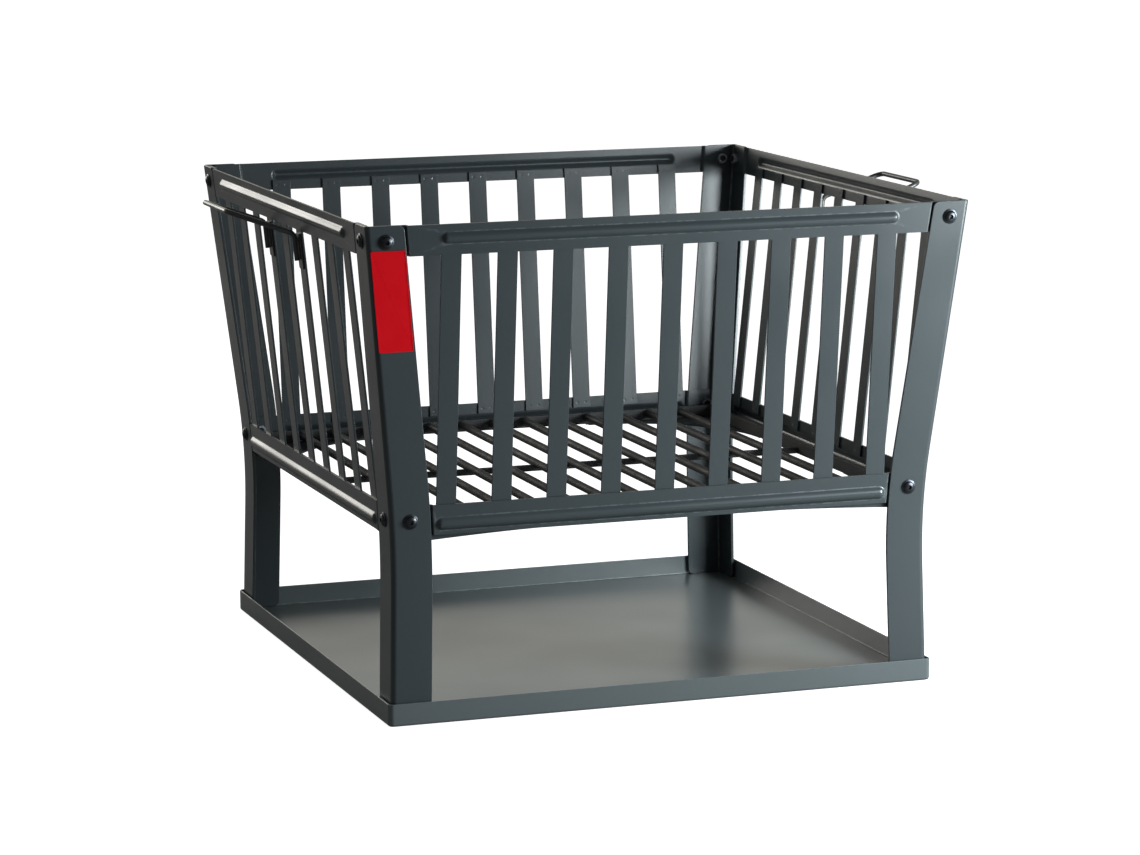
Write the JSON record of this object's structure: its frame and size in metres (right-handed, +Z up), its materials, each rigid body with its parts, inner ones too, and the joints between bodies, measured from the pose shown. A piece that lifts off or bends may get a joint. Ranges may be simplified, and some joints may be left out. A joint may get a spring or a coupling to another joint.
{
  "type": "fire pit with grate",
  "caption": "Square slatted steel fire basket on flared folded legs, with a lift-out grate and wire carrying handles, standing in a low floor tray that catches ash.",
  "frame": {"origin": "under the middle of the floor tray, on the ground", "axes": "+X to the right along the front, +Y from the front to the back, +Z up; the handles are on the left and right sides"},
  "size_m": [0.7146, 0.5914, 0.4624],
  "materials": {
    "tray_powder_coat": "satin anthracite powder coat on sheet steel",
    "anthracite_powder_coat": "satin anthracite powder coat on sheet steel",
    "black_screw_steel": "glossy black oxide",
    "zinc_plated_steel": "bright zinc plating",
    "wire_powder_coat": "satin dark grey powder coat on wire and tabs",
    "badge_red": "satin red enamel, plain",
    "black_heat_coat": "matt black heat resistant coat on bar steel"
  },
  "bodies": {
    "tray": {"ash_tray": "tray_powder_coat"},
    "basket": {"front_left_leg": "anthracite_powder_coat", "front_panel": "anthracite_powder_coat", "front_left_grate_bracket": "anthracite_powder_coat", "front_right_leg": "anthracite_powder_coat", "right_panel": "anthracite_powder_coat", "front_right_grate_bracket": "anthracite_powder_coat", "back_right_leg": "anthracite_powder_coat", "back_panel": "anthracite_powder_coat", "back_right_grate_bracket": "anthracite_powder_coat", "back_left_leg": "anthracite_powder_coat", "left_panel": "anthracite_powder_coat", "back_left_grate_bracket": "anthracite_powder_coat", "front_screw_upper_left": "black_screw_steel", "front_nut_upper_left": "zinc_plated_steel", "front_screw_upper_right": "black_screw_steel", "front_nut_upper_right": "zinc_plated_steel", "front_screw_lower_left": "black_screw_steel", "front_nut_lower_left": "zinc_plated_steel", "front_screw_lower_right": "black_screw_steel", "front_nut_lower_right": "zinc_plated_steel", "right_screw_upper_left": "black_screw_steel", "right_nut_upper_left": "zinc_plated_steel", "right_screw_upper_right": "black_screw_steel", "right_nut_upper_right": "zinc_plated_steel", "right_screw_lower_left": "black_screw_steel", "right_nut_lower_left": "zinc_plated_steel", "right_screw_lower_right": "black_screw_steel", "right_nut_lower_right": "zinc_plated_steel", "back_screw_upper_left": "black_screw_steel", "back_nut_upper_left": "zinc_plated_steel", "back_screw_upper_right": "black_screw_steel", "back_nut_upper_right": "zinc_plated_steel", "back_screw_lower_left": "black_screw_steel", "back_nut_lower_left": "zinc_plated_steel", "back_screw_lower_right": "black_screw_steel", "back_nut_lower_right": "zinc_plated_steel", "left_screw_upper_left": "black_screw_steel", "left_nut_upper_left": "zinc_plated_steel", "left_screw_upper_right": "black_screw_steel", "left_nut_upper_right": "zinc_plated_steel", "left_screw_lower_left": "black_screw_steel", "left_nut_lower_left": "zinc_plated_steel", "left_screw_lower_right": "black_screw_steel", "left_nut_lower_right": "zinc_plated_steel", "right_handle": "wire_powder_coat", "right_handle_front_tab": "wire_powder_coat", "right_handle_back_tab": "wire_powder_coat", "left_handle": "wire_powder_coat", "left_handle_front_tab": "wire_powder_coat", "left_handle_back_tab": "wire_powder_coat", "badge_plate": "badge_red"},
    "grate": {"fire_grate": "black_heat_coat"}
  },
  "joints": [
    {"name": "basket_lift", "type": "slide", "parent": "tray", "child": "basket", "axis": [0, 0, 1], "range_m": [0, 0.06]},
    {"name": "grate_lift", "type": "slide", "parent": "basket", "child": "grate", "axis": [0, 0, 1], "range_m": [0, 0.32]}
  ]
}
